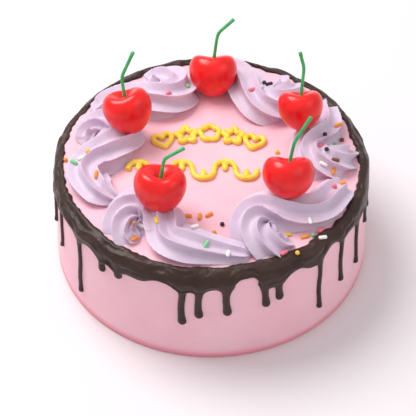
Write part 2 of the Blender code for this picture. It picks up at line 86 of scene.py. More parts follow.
# Drips: (degrees round the cake, height of the tip and width, in mm)
DRIPS = (
    (189, 27, 2.2), (199.5, 23, 2.4), (214.7, 10.5, 3.0), (227.2, 38.7, 3.7), (234.5, 40.4, 4.1),
    (259.4, 22.6, 3.9), (265.5, 28, 3.9), (275.4, 29.7, 4.0), (289.4, 31.4, 3.8), (294.5, 33.6, 3.8),
    (312.1, 13.4, 2.8), (323.9, 19.7, 3.1), (335.8, 17.6, 2.9), (346, 33, 3.0),
    (2, 22, 3.4), (15, 36, 3.8), (28, 14, 2.9), (42, 30, 3.6), (55, 24, 3.9), (68, 38, 3.6),
    (82, 12, 3.0), (95, 31, 3.8), (108, 25, 3.6), (122, 37, 4.0), (135, 17, 2.9), (149, 29, 3.6),
    (162, 35, 3.8), (174, 19, 3.0),
)
DRIP_THICKNESS = 1.9 * MM
# How far a drip starts above the band's lower edge, lies in the icing, and wavers to its sides
DRIP_ROOT_RISE = 4.5 * MM
DRIP_SUNK = 0.5 * MM
DRIP_LEAN = 0.35 * MM
# The width of a drip's shaft, and what its root and the swelling above its tip add to it, as shares
# of the width in its row; then how far down the root reaches at most
SHAFT_WIDTH = 0.92
ROOT_WIDTH = 1.1
SWELL_WIDTH = 0.22
ROOT_LENGTH = 8 * MM
# The web that spreads from each drip along the band's lower edge: how far it hangs, and how wide
WEB_DROP = 3.6 * MM
WEB_SPREAD = 2.7
CHOCOLATE_VOXEL = 0.42 * MM
# Share of its faces that the chocolate keeps when it is thinned
CHOCOLATE_KEPT = 0.68

# The cream: middle line of the curl from the eye (along the ring, outwards, half width, height)
CURL = (
    (6.5, 4.5, 8.5, 7.0), (0.5, 6.6, 10.8, 8.6), (-5.0, 4.4, 11.2, 10.6), (-7.6, -1.0, 11.0, 12.4),
    (-5.8, -6.6, 11.0, 13.6), (0.0, -9.4, 11.6, 14.2), (6.8, -8.0, 11.8, 14.2), (13.5, -4.4, 11.8, 13.4),
    (20.3, -0.4, 11.4, 12.2),
)
# Middle line of the tail: (share of the way to its end, half width, height), and the degrees
# from the eye to its start
TAIL = ((0.0, 11.2, 11.8), (0.5, 10.4, 10.8), (0.8, 9.0, 9.4), (1.0, 7.0, 7.6))
TAIL_START_ANGLE = 28
# Swirls: (degrees and radius in mm of the eye, size of the curl, degrees from the eye to the tail's
# end, radius in mm of the tail's start and end, share of its size that the tail keeps, and the turn
# of the star in degrees: at the start, through the curl, and along the tail)
SWIRLS = (
    (231, 54.5, 0.97, 56, 57.8, 63, 0.7, 10, 235, 40),
    (299.5, 54, 1.02, 45, 61.5, 64.5, 1, 0, 235, 20),
    (3, 56, 0.92, 31, 61, 65, 1, 20, 215, 25),
    (55, 54, 1.0, 40, 60.5, 63.5, 1, 5, 200, 20),
    (116, 54, 0.97, 37, 60.5, 63.5, 1, 15, 150, 20),
    (163, 54, 0.96, 49, 61, 49, 0.95, 0, 212, 60),
)
# Share of each rope over which its tail narrows to its end
TAIL_TAPERS = (0.06, 0.06, 0.08, 0.06, 0.06, 0.2)
# Share of each rope that is in its curl
CURL_SHARE = 0.58
# How full each rope starts and ends, and the share of it over which it fills out
ROPE_START = 0.35
ROPE_END = 0.25
ROPE_FILL = 0.07
# The star of the nozzle: its crests, the points on each, and how deep and round the grooves are
ROPE_CRESTS = 8
CREST_POINTS = 12
ROPE_GROOVE = 0.37
GROOVE_ROUND = 2.3
ROPE_POINTS = 150
CREAM_VOXEL = 0.3 * MM
CREAM_LUMPS = 0.16 * MM
# How far the cream goes into the icing, and the height above it from which the cream is uneven
CREAM_SUNK = 0.1 * MM
CREAM_SMOOTH_FOOT = 1 * MM

# Cherries: (x, y, height of the middle, width, lean back, lean left), in mm and degrees
CHERRIES = (
    (-39.8, 15.8, 74.0, 23.8, 24, 16),
    (0.9, 50.2, 65.9, 23.6, 40, 0),
    (-23.8, -35.8, 73.2, 24.6, 14, -3),
    (42.8, 15.6, 74.8, 21.8, 34, 2),
    (35.7, -29.4, 73.4, 24.4, 38, -2),
)
# Share of the length that each cherry keeps below its widest part
CHERRY_DROPS = (1.05, 1.0, 1.05, 1.0, 0.86)
# Half outline of a cherry from top to bottom: (radius, height), as shares of its width
CHERRY_OUTLINE = (
    (0.0, 0.27), (0.06, 0.3), (0.15, 0.38), (0.27, 0.425), (0.4, 0.385), (0.48, 0.26), (0.5, 0.1),
    (0.47, -0.06), (0.4, -0.2), (0.29, -0.33), (0.145, -0.425), (0.0, -0.455),
)
# The notch between a cherry's two shoulders, as shares of its width: how deep, how wide, and how
# far above the middle it is at full depth
CHERRY_NOTCH = 0.055
NOTCH_WIDTH = 0.2
NOTCH_REACH = 0.3
# A cherry's depth from front to back, as a share of its width
CHERRY_DEPTH = 0.9
# How uneven a cherry's sides are, as a share of its radius
CHERRY_LOBES = 0.015
STEM_RADIUS = 0.85 * MM
STEM_POINTS = 36
# Height above a cherry's middle at which its stem comes out, and how far in it starts, as shares
# of the cherry's width
STEM_FOOT = 0.3
STEM_SUNK = 0.05
# Stems: rise and sideways reach to the bend, then from the bend to the tip, in mm
STEMS = (
    (10.4, -1.2, 12.6, 5.7), (14.0, 2.2, 7.4, 7.8), (8.4, 1.7, 5.4, 9.2),
    (14.5, 1.4, 7.9, -2.0), (10.8, 2.4, 12.3, 7.4),
)
STEM_LEAN_BACK = 0.3

# Piped line work
PIPE_RADIUS = 1.35 * MM
PIPE_VOXEL = 0.22 * MM
# Height of a bead's middle above the icing, as a share of its radius
PIPE_LIFT = 0.8
MOTIF_SIZE = 4.6 * MM
MOTIF_POINTS = 90
# Right half of the heart from its dimple down, as shares of the motif's size
HEART_HALF = (
    (0.0, 0.38), (0.22, 0.74), (0.6, 0.88), (0.93, 0.66), (0.99, 0.26), (0.8, -0.14), (0.48, -0.5),
    (0.18, -0.8),
)
HEART_TIP = (0.0, -0.95)
# Motifs: (name, x and y in mm, degrees turned)
MOTIFS = (
    ("heart_left", -23.4, 14.2, 16), ("star_left", -12.2, 18.0, 8), ("flower", -0.8, 19.4, 0),
    ("star_right", 10.6, 17.4, -8), ("heart_right", 20.6, 13.0, -16),
)
VINE_CENTRE = (-9 * MM, -6 * MM)
VINE_LENGTH = 62 * MM
VINE_SWING = 5.6 * MM
VINE_CURL = 1.35 * MM
VINE_WAVES = 3
VINE_STEPS = 160
LEAF_LENGTH = 6.0 * MM
LEAF_WIDTH = 3.2 * MM
LEAF_OFFSET = 3.2 * MM

# Sprinkles
ROD_LENGTH = 4.2 * MM
ROD_RADIUS = 0.9 * MM
BALL_RADIUS = 1.1 * MM
# Height of a sprinkle's middle above what it lies on, as a share of its radius
SPRINKLE_LIFT = 0.62
# The two screen colours between which each colour of sugar varies
SUGAR_TONES = {
    "orange": ((240, 140, 30), (250, 165, 60)),
    "green": ((120, 205, 140), (150, 220, 165)),
    "white": ((250, 246, 240), (255, 252, 248)),
    "yellow": ((245, 190, 50), (250, 205, 80)),
    "dark": ((45, 20, 35), (65, 30, 50)),
    "rose": ((240, 100, 120), (248, 135, 150)),
    "brown": ((120, 70, 50), (140, 85, 60)),
}
# Sprinkles by colour: (x and y in mm, degrees turned, or None for a ball)
SPRINKLES = {
    "orange": (
        (-11.3, -36, 0), (-5.5, -36.5, 80), (-1.1, -35.3, 35), (1.2, -46.8, None),
        (-36.4, -45.6, 140), (-35.7, -52, 40), (43.4, -49.2, 20), (61.4, 18.2, 30),
        (57.8, -10.2, 80), (62.2, -20.8, 130), (34.3, 40.5, 120), (-55.5, 13.8, 100),
        (-63.6, 4.4, 130), (-54.2, -16.5, 70), (-70.2, 1.1, None),
    ),
    "green": (
        (-6.9, -45.2, 70), (47.2, -48.2, None), (60.1, 10, 120), (-12, 44.6, None),
        (-65.7, -7, 150), (-2.5, -59.5, 60),
    ),
    "white": (
        (-7.9, -48.8, 20), (7.4, -64.4, 80), (45.6, -45.2, 100), (53.4, -8.4, 150), (24.4, 44, 60),
        (-62.1, -4.2, 30), (-33, -44.4, 150), (51.6, -50.8, 10),
    ),
    "yellow": (
        (31.7, 6.6, None), (-24.9, -49.5, 105), (35.3, -47.9, 0), (38.1, 37.4, None),
        (-59.1, -0.4, None), (39.4, -60.4, None),
    ),
    "dark": (
        (5, -41.5, None), (54.6, 8.6, None), (55.2, -1.8, None), (28.7, 45.2, 160),
        (26.3, 48.2, None),
    ),
    "rose": (
        (-3.2, -46.9, None), (51.2, -46.2, 50), (33.5, -61, 45), (52.4, 2.8, 60), (19.7, 40.5, 20),
        (57.8, -23.2, None), (-21, 37, 60), (-32, 47, None),
    ),
    "brown": ((58.9, -6.4, 10), (63.4, 15, None)),
}

# The room and the camera, which stands where the photograph was taken from
FLOOR_SIZE = 6
WORLD_STRENGTH = 0.6
LIGHT_AIM = (0, 0, 40 * MM)
# Lights: name, place, width of the disk in metres, power in watts, colour
LIGHTS = (
    ("key", (-0.42, 0.3, 0.92), 0.7, 9.0, (1, 0.98, 0.97)),
    ("fill", (0.7, -0.4, 0.8), 0.8, 1.2, (1, 1, 1)),
)
CAMERA_PLACE = (-0.00165, -0.72584, 0.77813)
CAMERA_AIM = (-0.00165, -0.00623, 0.03)
CAMERA_LENS = 184.3
SENSOR_WIDTH = 36


# Helpers


def choose(*objs):
    """Leaves edit mode and selects only these objects, the first of them active."""
    if bpy.context.object is not None and bpy.context.object.mode != "OBJECT":
        bpy.ops.object.mode_set(mode="OBJECT")
    bpy.ops.object.select_all(action="DESELECT")
    for obj in objs:
        obj.select_set(True)
    bpy.context.view_layer.objects.active = objs[0]


def named(name):
    """Names the object that an operator has just added, and hands it back."""
    obj = bpy.context.object
    obj.name = name
    obj.data.name = name
    return obj


def pick(obj, kind, wanted):
    """Selects, in edit mode, only the faces or edges that are wanted."""
    bpy.ops.mesh.select_mode(type=kind)
    bpy.ops.mesh.select_all(action="DESELECT")
    bm = bmesh.from_edit_mesh(obj.data)
    for item in bm.faces if kind == "FACE" else bm.edges:
        if wanted(item):
            item.select_set(True)
    bmesh.update_edit_mesh(obj.data)


def apply_all(obj):
    choose(obj)
    for modifier in list(obj.modifiers):
        bpy.ops.object.modifier_apply(modifier=modifier.name)


def settle(obj):
    """Puts the object's place, turn and scale into its mesh."""
    choose(obj)
    bpy.ops.object.transform_apply(location=True, rotation=True, scale=True)


def smooth(obj, factor, repeats):
    modifier = obj.modifiers.new("Smooth", "SMOOTH")
    modifier.factor = factor
    modifier.iterations = repeats


def merged(obj, voxel):
    """Makes one closed skin of all that the mesh holds."""
    skin = obj.modifiers.new("Skin", "REMESH")
    skin.mode = "VOXEL"
    skin.voxel_size = voxel
    skin.use_smooth_shade = True


def tidy_faces(obj):
    """Merges doubles, turns the faces outwards and shades them smooth."""
    choose(obj)
    bpy.ops.object.mode_set(mode="EDIT")
    bpy.ops.mesh.select_all(action="SELECT")
    bpy.ops.mesh.remove_doubles(threshold=1e-6)
    bpy.ops.mesh.normals_make_consistent(inside=False)
    bpy.ops.object.mode_set(mode="OBJECT")
    bpy.ops.object.shade_smooth()


def finished(obj, material, slot, *nodes):
    """Gives a piece its material and its place in the frame."""
    obj.data.materials.clear()
    obj.data.materials.append(material)
    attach(obj, "root")
    if nodes:
        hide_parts(*nodes)
    return obj


def on_ring(degrees, radius, height=0.0):
    angle = math.radians(degrees)
    return Vector((radius * math.cos(angle), radius * math.sin(angle), height))


def between(points, degrees):
    """Value at an angle, eased between the (degrees, value) points of a closed ring."""
    count = len(points)
    for i in range(count):
        start, low = points[i]
        end, high = points[(i + 1) % count]
        span = (end - start) % 360
        along = (degrees - start) % 360
        if along <= span:
            ease = (1 - math.cos(math.pi * along / span)) / 2
            return low + (high - low) * ease
    return points[0][1]


def smooth_path(points, share):
    """A Catmull-Rom curve through rows of numbers, read at a share (0 to 1) of its way."""
    spans = len(points) - 1
    place = min(share * spans, spans - 1e-9)
    i = int(place)
    t = place - i
    row = []
    for p0, p1, p2, p3 in zip(
        points[max(i - 1, 0)], points[i], points[i + 1], points[min(i + 2, spans)]
    ):
        bend = 2 * p0 - 5 * p1 + 4 * p2 - p3
        turn = 3 * p1 - p0 - 3 * p2 + p3
        row.append(p1 + 0.5 * t * (p2 - p0 + t * (bend + t * turn)))
    return row


# Materials


def srgb(red, green, blue):
    """A linear colour from screen values 0 to 255."""
    def linear(value):
        value /= 255
        return value / 12.92 if value <= 0.04045 else ((value + 0.055) / 1.055) ** 2.4
    return (linear(red), linear(green), linear(blue), 1)


def make_surface_group():
    """Soft mottling and fine grain: a mask for colour, and a height for bump."""
    group = bpy.data.node_groups.new("Food surface", "ShaderNodeTree")
    face = group.interface
    face.new_socket("Patch size", in_out="INPUT", socket_type="NodeSocketFloat").default_value = 60
    face.new_socket("Grain size", in_out="INPUT", socket_type="NodeSocketFloat").default_value = 900
    face.new_socket("Grain share", in_out="INPUT", socket_type="NodeSocketFloat").default_value = 0.3
    face.new_socket("Patches", in_out="OUTPUT", socket_type="NodeSocketFloat")
    face.new_socket("Height", in_out="OUTPUT", socket_type="NodeSocketFloat")
    nodes = group.nodes
    links = group.links
    given = nodes.new("NodeGroupInput")
    out = nodes.new("NodeGroupOutput")
    place = nodes.new("ShaderNodeTexCoord")
    patches = nodes.new("ShaderNodeTexNoise")
    patches.inputs["Detail"].default_value = 3
    grain = nodes.new("ShaderNodeTexNoise")
    grain.inputs["Detail"].default_value = 4
    spread = nodes.new("ShaderNodeMapRange")
    spread.inputs["From Min"].default_value = 0.3
    spread.inputs["From Max"].default_value = 0.7
    mix = nodes.new("ShaderNodeMix")
    links.new(place.outputs["Object"], patches.inputs["Vector"])
    links.new(place.outputs["Object"], grain.inputs["Vector"])
    links.new(given.outputs["Patch size"], patches.inputs["Scale"])
    links.new(given.outputs["Grain size"], grain.inputs["Scale"])
    links.new(patches.outputs["Fac"], spread.inputs["Value"])
    links.new(spread.outputs["Result"], out.inputs["Patches"])
    links.new(given.outputs["Grain share"], mix.inputs["Factor"])
    links.new(patches.outputs["Fac"], mix.inputs["A"])
    links.new(grain.outputs["Fac"], mix.inputs["B"])
    links.new(mix.outputs["Result"], out.inputs["Height"])
    return group


def new_material(name, roughness, patch_size, grain_size, grain_share, bump_distance):
    """A Principled material with the food surface group wired to its bump."""
    made = bpy.data.materials.new(name)
    made.use_nodes = True
    nodes = made.node_tree.nodes
    links = made.node_tree.links
    shader = nodes["Principled BSDF"]
    shader.inputs["Roughness"].default_value = roughness
    surface = nodes.new("ShaderNodeGroup")
    surface.node_tree = SURFACE
    surface.name = "surface"
    surface.inputs["Patch size"].default_value = patch_size
    surface.inputs["Grain size"].default_value = grain_size
    surface.inputs["Grain share"].default_value = grain_share
    bump = nodes.new("ShaderNodeBump")
    bump.inputs["Distance"].default_value = bump_distance
    bump.inputs["Strength"].default_value = 1.0
    links.new(surface.outputs["Height"], bump.inputs["Height"])
    links.new(bump.outputs["Normal"], shader.inputs["Normal"])
    return made


def two_tone(made, first, second):
    """Base colour between two tones, by the soft patches. Hands back the mixing node."""
    nodes = made.node_tree.nodes
    links = made.node_tree.links
    tone = nodes.new("ShaderNodeMix")
    tone.data_type = "RGBA"
    tone.inputs["A"].default_value = first
    tone.inputs["B"].default_value = second
    links.new(nodes["surface"].outputs["Patches"], tone.inputs["Factor"])
    links.new(tone.outputs["Result"], nodes["Principled BSDF"].inputs["Base Color"])
    return tone


def glow_inside(made, weight, radius, scale):
    """Lets light go a little way into the food before it comes out."""
    shader = made.node_tree.nodes["Principled BSDF"]
    shader.inputs["Subsurface Weight"].default_value = weight
    shader.inputs["Subsurface Radius"].default_value = radius
    shader.inputs["Subsurface Scale"].default_value = scale


def height_ramp(made, low, high):
    """A value that goes from 0 at a low height to 1 at a high one, by the object's own Z."""
    nodes = made.node_tree.nodes
    links = made.node_tree.links
    place = nodes.new("ShaderNodeTexCoord")
    split = nodes.new("ShaderNodeSeparateXYZ")
    ramp = nodes.new("ShaderNodeMapRange")
    ramp.interpolation_type = "SMOOTHSTEP"
    ramp.inputs["From Min"].default_value = low
    ramp.inputs["From Max"].default_value = high
    links.new(place.outputs["Object"], split.inputs["Vector"])
    links.new(split.outputs["Z"], ramp.inputs["Value"])
    return ramp


def make_icing():
    """Pale pink all over, and a deeper pink painted at its foot as shade where it meets the floor."""
    made = new_material(
        "pink buttercream", roughness=0.5, patch_size=45, grain_size=420, grain_share=0.25,
        bump_distance=0.6 * MM,
    )
    glow_inside(made, weight=0.25, radius=(1.0, 0.5, 0.5), scale=4 * MM)
    nodes = made.node_tree.nodes
    links = made.node_tree.links
    tone = two_tone(made, srgb(247, 190, 205), srgb(250, 200, 213))
    # Painted shade: a deeper pink at the foot, where the icing meets the floor, blended in by height
    painted_foot_shade = nodes.new("ShaderNodeMix")
    painted_foot_shade.data_type = "RGBA"
    painted_foot_shade.inputs["A"].default_value = srgb(238, 138, 156)
    ramp = height_ramp(made, *FOOT_SHADE_HEIGHTS)
    links.new(ramp.outputs["Result"], painted_foot_shade.inputs["Factor"])
    links.new(tone.outputs["Result"], painted_foot_shade.inputs["B"])
    links.new(painted_foot_shade.outputs["Result"], nodes["Principled BSDF"].inputs["Base Color"])
    return made


def make_cream():
    made = new_material(
        "lavender whipped cream", roughness=0.45, patch_size=90, grain_size=700, grain_share=0.3,
        bump_distance=0.4 * MM,
    )
    glow_inside(made, weight=0.25, radius=(0.9, 0.6, 1.0), scale=3 * MM)
    two_tone(made, srgb(214, 193, 216), srgb(223, 205, 223))
    return made


def make_chocolate_finish():
    made = new_material(
        "dark chocolate glaze", roughness=0.38, patch_size=70, grain_size=500, grain_share=0.35,
        bump_distance=0.9 * MM,
    )
    shader = made.node_tree.nodes["Principled BSDF"]
    shader.inputs["Specular IOR Level"].default_value = 0.3
    two_tone(made, srgb(49, 31, 26), srgb(65, 45, 38))
    return made


def make_cherry_finish():
    made = new_material(
        "glossy cherry skin", roughness=0.28, patch_size=160, grain_size=1500, grain_share=0.3,
        bump_distance=0.2 * MM,
    )
    shader = made.node_tree.nodes["Principled BSDF"]
    shader.inputs["Specular IOR Level"].default_value = 0.45
    shader.inputs["Coat Weight"].default_value = 0.22
    shader.inputs["Coat Roughness"].default_value = 0.2
    two_tone(made, srgb(228, 6, 10), srgb(255, 16, 16))
    return made


def make_stem_finish():
    made = new_material(
        "fresh green stem", roughness=0.45, patch_size=220, grain_size=1800, grain_share=0.5,
        bump_distance=0.3 * MM,
    )
    two_tone(made, srgb(52, 160, 92), srgb(86, 196, 120))
    return made


def make_yellow():
    made = new_material(
        "yellow piping", roughness=0.35, patch_size=180, grain_size=1200, grain_share=0.3,
        bump_distance=0.3 * MM,
    )
    glow_inside(made, weight=0.2, radius=(1.0, 0.7, 0.2), scale=3 * MM)
    two_tone(made, srgb(250, 206, 52), srgb(252, 222, 92))
    return made


def make_sugar(name):
    made = new_material(
        f"{name} sugar", roughness=0.4, patch_size=260, grain_size=2600, grain_share=0.5,
        bump_distance=0.2 * MM,
    )
    first, second = SUGAR_TONES[name]
    two_tone(made, srgb(*first), srgb(*second))
    return made


SURFACE = make_surface_group()


# Cake body


def make_cake_body(material):
    """A cylinder whose rim is bevelled round, with rings cut in so that it can be made uneven."""
    bpy.ops.mesh.primitive_cylinder_add(
        vertices=CAKE_SEGMENTS, radius=BASE_RADIUS, depth=CAKE_HEIGHT,
        location=(0, 0, CAKE_HEIGHT / 2),
    )
    body = named("iced_cake")
    settle(body)
    bpy.ops.object.mode_set(mode="EDIT")
    pick(body, "FACE", lambda face: face.normal.z > 0.9)
    share = CAKE_RADIUS / BASE_RADIUS
    bpy.ops.transform.resize(value=(share, share, 1))
    bpy.ops.mesh.bevel(offset=SHOULDER_RADIUS, segments=10, profile=0.5)
    pick(body, "FACE", lambda face: face.normal.z < -0.9)
    bpy.ops.mesh.bevel(offset=BASE_EDGE_RADIUS, segments=4, profile=0.5)
    pick(body, "EDGE", lambda edge: abs(edge.verts[0].co.z - edge.verts[1].co.z) > 20 * MM)
    bpy.ops.mesh.subdivide(number_cuts=SIDE_CUTS)
    for _ in range(TOP_RINGS):
        pick(body, "FACE", lambda face: face.normal.z > 0.9 and len(face.verts) == CAKE_SEGMENTS)
        bpy.ops.mesh.inset(thickness=TOP_RING_WIDTH, depth=0)
    bpy.ops.mesh.poke()
    bpy.ops.object.mode_set(mode="OBJECT")
    for vertex in body.data.vertices:
        here = vertex.co
        lump = noise.noise(here * 45) + 0.5 * noise.noise(here * 110 + Vector((3, 1, 4)))
        amount = ICING_LUMPS * lump
        if here.z > CAKE_HEIGHT - 0.5 * MM:
            here.z += amount
        elif here.z > 2 * MM:
            outwards = Vector((here.x, here.y, 0)).normalized()
            here += outwards * amount
    tidy_faces(body)
    return finished(body, material, "pink_icing", "cake_body")


# Chocolate edge


def side_radius(height):
    """Radius of the icing at a height: the side leans in a little towards the top."""
    share = height / (CAKE_HEIGHT - SHOULDER_RADIUS)
    return BASE_RADIUS + (CAKE_RADIUS - BASE_RADIUS) * min(share, 1)


def web_drop(degrees):
    """How far the band's lower edge is drawn down by the drips that are near."""
    pull = 0
    for drip_degrees, _, width in DRIPS:
        away = (degrees - drip_degrees + 180) % 360 - 180
        pull += math.exp(-((away / WEB_SPREAD) ** 2)) * width / 4
    return WEB_DROP * min(pull, 1)


def band_point(degrees, along, proud):
    """A point on the band: along goes from its inner edge (0) to its lower edge (1)."""
    wobble = 1.1 * noise.noise(on_ring(degrees, 9)) + 0.8 * noise.noise(on_ring(degrees, 26))
    inner = (between(BAND_INNER_EDGE, degrees) + wobble) * MM
    low = between(BAND_LOWER_EDGE, degrees) * MM - web_drop(degrees)
    corner_r = CAKE_RADIUS - SHOULDER_RADIUS
    corner_z = CAKE_HEIGHT - SHOULDER_RADIUS
    brushed = on_ring(degrees, 2.2, 5 * along)
    ripple = 0.8 * noise.noise(brushed * 1.6) + 0.5 * noise.noise(brushed * 4.5)
    if proud > 0:
        proud *= 1 + ripple
    flat = max(corner_r - inner, 0)
    start = max(inner - corner_r, 0) / SHOULDER_RADIUS
    end = math.acos(min(max((low - corner_z) / SHOULDER_RADIUS, 0), 1))
    down = max(corner_z - low, 0)
    gone = along * (flat + (end - start) * SHOULDER_RADIUS + down)
    if gone < flat:
        return on_ring(degrees, inner + gone, CAKE_HEIGHT + proud)
    turn = start + (gone - flat) / SHOULDER_RADIUS
    if turn < end:
        reach = SHOULDER_RADIUS + proud
        return on_ring(degrees, corner_r + reach * math.sin(turn), corner_z + reach * math.cos(turn))
    height = corner_z - (turn - end) * SHOULDER_RADIUS if down > 0 else low
    over = 0 if down > 0 else corner_r + SHOULDER_RADIUS * math.sin(end) - side_radius(height)
    return on_ring(degrees, side_radius(height) + over + proud, height)


def make_band():
    """A closed ring of cross-sections, each laid over the shoulder down to the wavy edge."""
    front = [
        (along, BAND_THICKNESS * min(1, 0.55 + 5 * min(along, 1 - along))) for along in BAND_ACROSS
    ]
    back = [(along, -BAND_SUNK) for along in reversed(BAND_ACROSS)]
    outline = front + back
    bpy.ops.mesh.primitive_circle_add(vertices=BAND_STEPS, radius=CAKE_RADIUS)
    band = named("chocolate_edge")
    bm = bmesh.new()
    rings = []
    for i in range(BAND_STEPS):
        degrees = 360 * i / BAND_STEPS
        rings.append([bm.verts.new(band_point(degrees, along, proud)) for along, proud in outline])
    for i in range(BAND_STEPS):
        first = rings[i]
        second = rings[(i + 1) % BAND_STEPS]
        for j in range(len(outline)):
            k = (j + 1) % len(outline)
            bm.faces.new((first[j], second[j], second[k], first[k]))
    bmesh.ops.recalc_face_normals(bm, faces=bm.faces)
    bm.to_mesh(band.data)
    bm.free()
    return band


def make_drip(number, degrees, tip, width):
    """A ball drawn out into a drip: its shaft stretched to length, its root spread into the band."""
    half = width * MM / 2
    edge = between(BAND_LOWER_EDGE, degrees) * MM
    top = edge + DRIP_ROOT_RISE
    bpy.ops.mesh.primitive_uv_sphere_add(segments=20, ring_count=28, radius=1)
    drip = named(f"drip_{number}")
    length = top - tip * MM
    for vertex in drip.data.vertices:
        x, y, z = vertex.co
        down = math.acos(max(-1, min(1, z))) / math.pi
        drop = length * down
        from_tip = length - drop
        below = max(drop - DRIP_ROOT_RISE + 0.5 * MM, 0)
        root = max(0, 1 - below / min(ROOT_LENGTH, 0.7 * (length - DRIP_ROOT_RISE)))
        bulb = math.exp(-((from_tip - 1.25 * half) / (1.5 * half)) ** 2)
        wide = SHAFT_WIDTH + ROOT_WIDTH * root ** 2.2 + SWELL_WIDTH * bulb
        end = math.sqrt(max(0, 1 - (1 - min(from_tip / (1.05 * half), 1)) ** 2))
        wide *= end
        around = Vector((x, y, 0))
        if around.length > 1e-6:
            around.normalize()
        height = top - drop
        lean = DRIP_LEAN * math.sin(drop * 260 + number)
        turn = math.degrees((around.x * half * wide + lean) / BASE_RADIUS)
        thick = DRIP_THICKNESS * (0.78 + 0.22 * bulb) * end
        if around.y > 0:
            proud = around.y * thick
        else:
            proud = around.y * DRIP_SUNK
        vertex.co = on_ring(degrees + turn, side_radius(height) + proud, height)
    return drip


def make_chocolate(material):
    """The band and its drips, merged and smoothed into one glaze, then thinned."""
    pieces = [make_band()]
    pieces += [make_drip(number, *row) for number, row in enumerate(DRIPS, 1)]
    choose(*pieces)
    bpy.ops.object.join()
    chocolate = pieces[0]
    merged(chocolate, CHOCOLATE_VOXEL)
    smooth(chocolate, 0.5, 7)
    thin = chocolate.modifiers.new("Thin", "DECIMATE")
    thin.ratio = CHOCOLATE_KEPT
    apply_all(chocolate)
    bpy.ops.object.shade_smooth()
    return finished(chocolate, material, "chocolate", "chocolate_drip")


# Piped cream


def swirl_line(eye_degrees, eye_radius, size, tail_degrees, tail_start, tail_end, tail_size):
    """Rows of (x, y, half width, height) along a swirl's middle line, in metres."""
    outwards = on_ring(eye_degrees, 1)
    along = on_ring(eye_degrees + 90, 1)
    rows = []
    for t, n, half_width, height in CURL:
        point = outwards * (eye_radius + n * size) * MM + along * t * size * MM
        rows.append((point.x, point.y, half_width * size * MM, height * MM))
    for share, half_width, height in TAIL:
        turn = TAIL_START_ANGLE + (tail_degrees - TAIL_START_ANGLE) * share
        radius = tail_start + (tail_end - tail_start) * share ** 2
        point = on_ring(eye_degrees + turn, radius * MM)
        kept = (tail_size + (1 - tail_size) * (1 - share) ** 2) * MM
        rows.append((point.x, point.y, half_width * kept, height * kept))
    return rows


def make_star_outline():
    """The opening of the piping nozzle: a ring of sharp crests with hollow faces between."""
    bpy.ops.curve.primitive_nurbs_circle_add(radius=1)
    star = named("nozzle_star")
    star.data.dimensions = "2D"
    star.data.splines.clear()
    spline = star.data.splines.new("POLY")
    count = ROPE_CRESTS * CREST_POINTS
    spline.points.add(count - 1)
    spline.use_cyclic_u = True
    for i in range(count):
        phase = i / CREST_POINTS
        away = abs((phase + 0.5) % 1 - 0.5) * 2
        reach = 1 - ROPE_GROOVE * (1 - (1 - away) ** GROOVE_ROUND)
        angle = math.tau * i / count
        spline.points[i].co = (reach * math.cos(angle), reach * math.sin(angle), 0, 1)
    return star


def make_swirl(number, star, row, material):
    """A star-shaped rope drawn along the swirl's line, its runs merged into one body of cream."""
    line = swirl_line(*row[:7])
    first_turn, curl_turn, tail_turn = row[7:]
    bpy.ops.curve.primitive_nurbs_path_add()
    rope = named(f"piped_cream_{number}")
    curve = rope.data
    curve.dimensions = "3D"
    curve.twist_mode = "Z_UP"
    curve.bevel_mode = "OBJECT"
    curve.bevel_object = star
    curve.use_fill_caps = True
    curve.splines.clear()
    spline = curve.splines.new("POLY")
    spline.points.add(ROPE_POINTS - 1)
    for i in range(ROPE_POINTS):
        share = i / (ROPE_POINTS - 1)
        x, y, half_width, height = smooth_path(line, share)
        taper = min(1, ROPE_START + share / ROPE_FILL)
        taper *= min(1, ROPE_END + (1 - share) / TAIL_TAPERS[number - 1])
        radius = half_width * taper
        centre = height * taper - radius
        point = spline.points[i]
        point.co = (x, y, CAKE_HEIGHT + centre, 1)
        point.radius = radius
        in_curl = 1 - (1 - min(share / CURL_SHARE, 1)) ** 1.5
        in_tail = max(share - CURL_SHARE, 0) / (1 - CURL_SHARE)
        point.tilt = math.radians(first_turn + curl_turn * in_curl + tail_turn * in_tail)
    choose(rope)
    bpy.ops.object.convert(target="MESH")
    merged(rope, CREAM_VOXEL)
    apply_all(rope)
    bpy.ops.object.mode_set(mode="EDIT")
    bpy.ops.mesh.select_all(action="SELECT")
    bpy.ops.mesh.bisect(
        plane_co=(0, 0, CAKE_HEIGHT - CREAM_SUNK), plane_no=(0, 0, -1),
        use_fill=True, clear_outer=True,
    )
    bpy.ops.object.mode_set(mode="OBJECT")
    facing = [vertex.normal.copy() for vertex in rope.data.vertices]
    for vertex, normal in zip(rope.data.vertices, facing):
        here = vertex.co
        if here.z > CAKE_HEIGHT + CREAM_SMOOTH_FOOT:
            lump = noise.noise(here * 160 + Vector((number, 0, 0)))
            here += normal * CREAM_LUMPS * lump
    smooth(rope, 0.5, 1)
    apply_all(rope)
    tidy_faces(rope)
    return finished(rope, material, "lavender_cream", f"cream_swirl_{number}")


# Cherries and stems


def cherry_matrix(x, y, z, lean_back, lean_left):
    place = Matrix.Translation((x * MM, y * MM, z * MM))
    back = Matrix.Rotation(math.radians(-lean_back), 4, "X")
    left = Matrix.Rotation(math.radians(-lean_left), 4, "Y")
    return place @ left @ back


